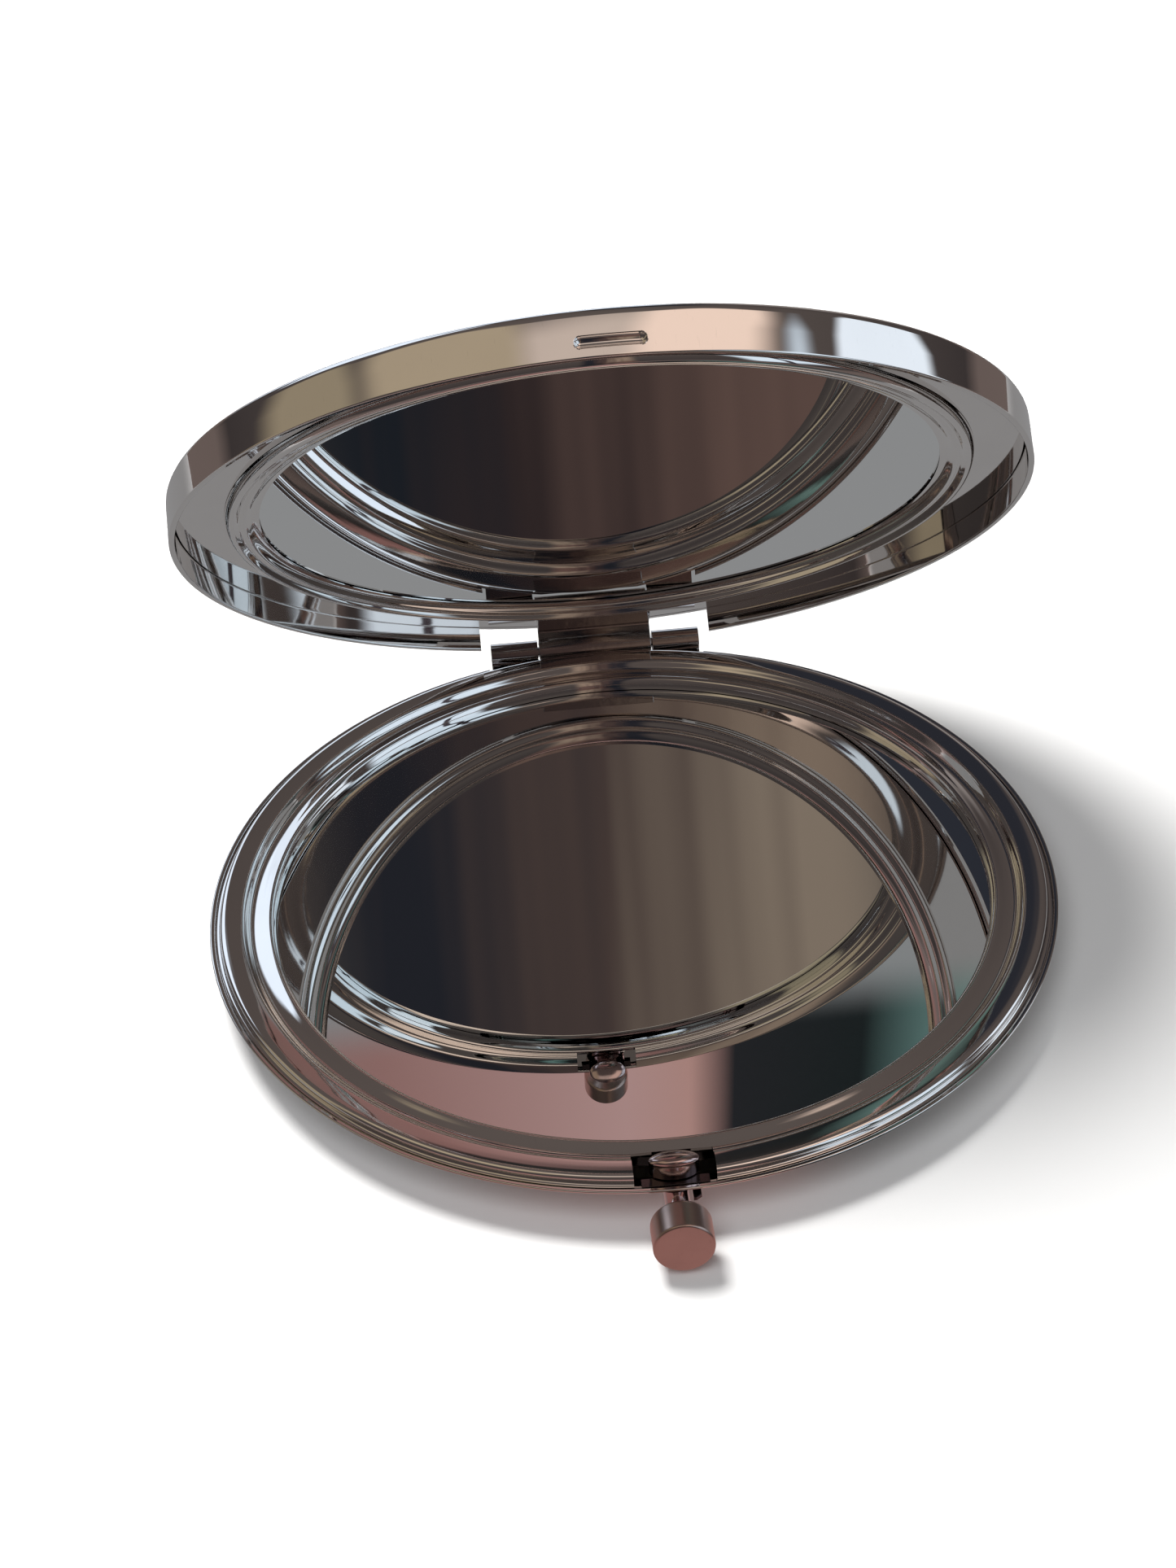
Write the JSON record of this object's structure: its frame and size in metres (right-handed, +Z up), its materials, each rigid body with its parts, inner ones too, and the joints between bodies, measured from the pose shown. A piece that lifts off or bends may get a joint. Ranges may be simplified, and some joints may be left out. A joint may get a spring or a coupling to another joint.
{
  "type": "compact mirror",
  "caption": "Round polished metal compact mirror with a hinged lid, mirrors in lid and base, raised rims and a push-button catch.",
  "frame": {"origin": "centre of the flat underside of the base", "axes": "+Z up out of the base, -Y towards the push button, +Y towards the hinge, +X to the right seen from the button"},
  "size_m": [0.07, 0.0778, 0.0623],
  "materials": {
    "shell_chrome": "polished plate with a faint orange-peel wave",
    "frame_chrome": "polished plate, slightly textured on the wall round the glass",
    "mirror_glass": "silvered glass",
    "foam_pad": "white foam tape",
    "hinge_metal": "plated pressing, satin",
    "button_chrome": "turned and plated, worn satin polish",
    "spring_metal": "blackened spring strip"
  },
  "bodies": {
    "base": {"base_shell": "shell_chrome", "base_inner_frame": "frame_chrome", "base_mirror": "mirror_glass", "base_mirror_pad": "foam_pad", "hinge_base_leaf": "hinge_metal", "hinge_pin": "hinge_metal", "latch_guide": "spring_metal", "latch_spring": "spring_metal"},
    "latch": {"latch_catch": "button_chrome", "button_stem": "button_chrome", "button_knob": "button_chrome"},
    "lid": {"lid_shell": "shell_chrome", "lid_inner_plate": "frame_chrome", "lid_mirror_ring": "frame_chrome", "lid_mirror": "mirror_glass", "lid_mirror_pad": "foam_pad", "hinge_lid_leaf": "hinge_metal"}
  },
  "joints": [
    {"name": "lid_hinge", "type": "hinge", "parent": "base", "child": "lid", "pos_m": [0, 0.03537, 0.00437], "axis": [-1, 0, 0], "range_deg": [-52.6, 127.4]},
    {"name": "latch_button", "type": "slide", "parent": "base", "child": "latch", "axis": [0, 1, 0], "range_m": [0, 0.0008], "stiffness_N_per_m": 2000, "springref_m": -0.0005, "deforming": ["latch_spring"]}
  ]
}
